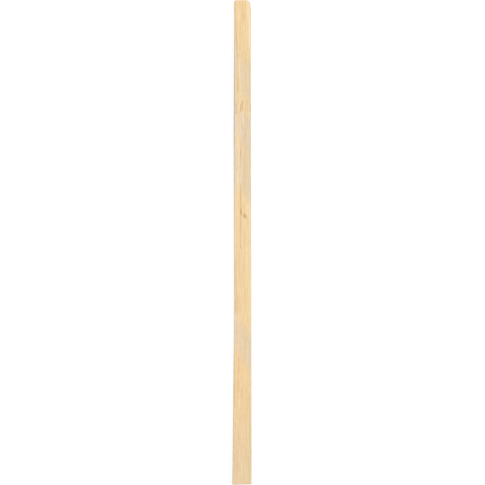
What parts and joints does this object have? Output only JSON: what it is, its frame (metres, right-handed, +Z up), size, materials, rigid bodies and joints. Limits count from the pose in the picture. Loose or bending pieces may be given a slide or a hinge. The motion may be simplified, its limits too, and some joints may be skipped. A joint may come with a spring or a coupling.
{
  "type": "drink stirrer",
  "caption": "Flat wooden drink stirrer: one slim, slightly warped veneer strip with a round-cornered tip and a square foot, lying flat.",
  "frame": {"origin": "on the table under the middle of the blade's bounding box", "axes": "+Y along the blade towards its round-cornered tip, +Z up through its thickness, +X across it"},
  "size_m": [0.0062, 0.1782, 0.0025],
  "materials": {
    "birch_veneer": "bare, tumbled birch veneer, satin to matt, with fine straight grain and small dark flecks"
  },
  "bodies": {
    "root": {"stirrer_blade": "birch_veneer"}
  },
  "joints": []
}
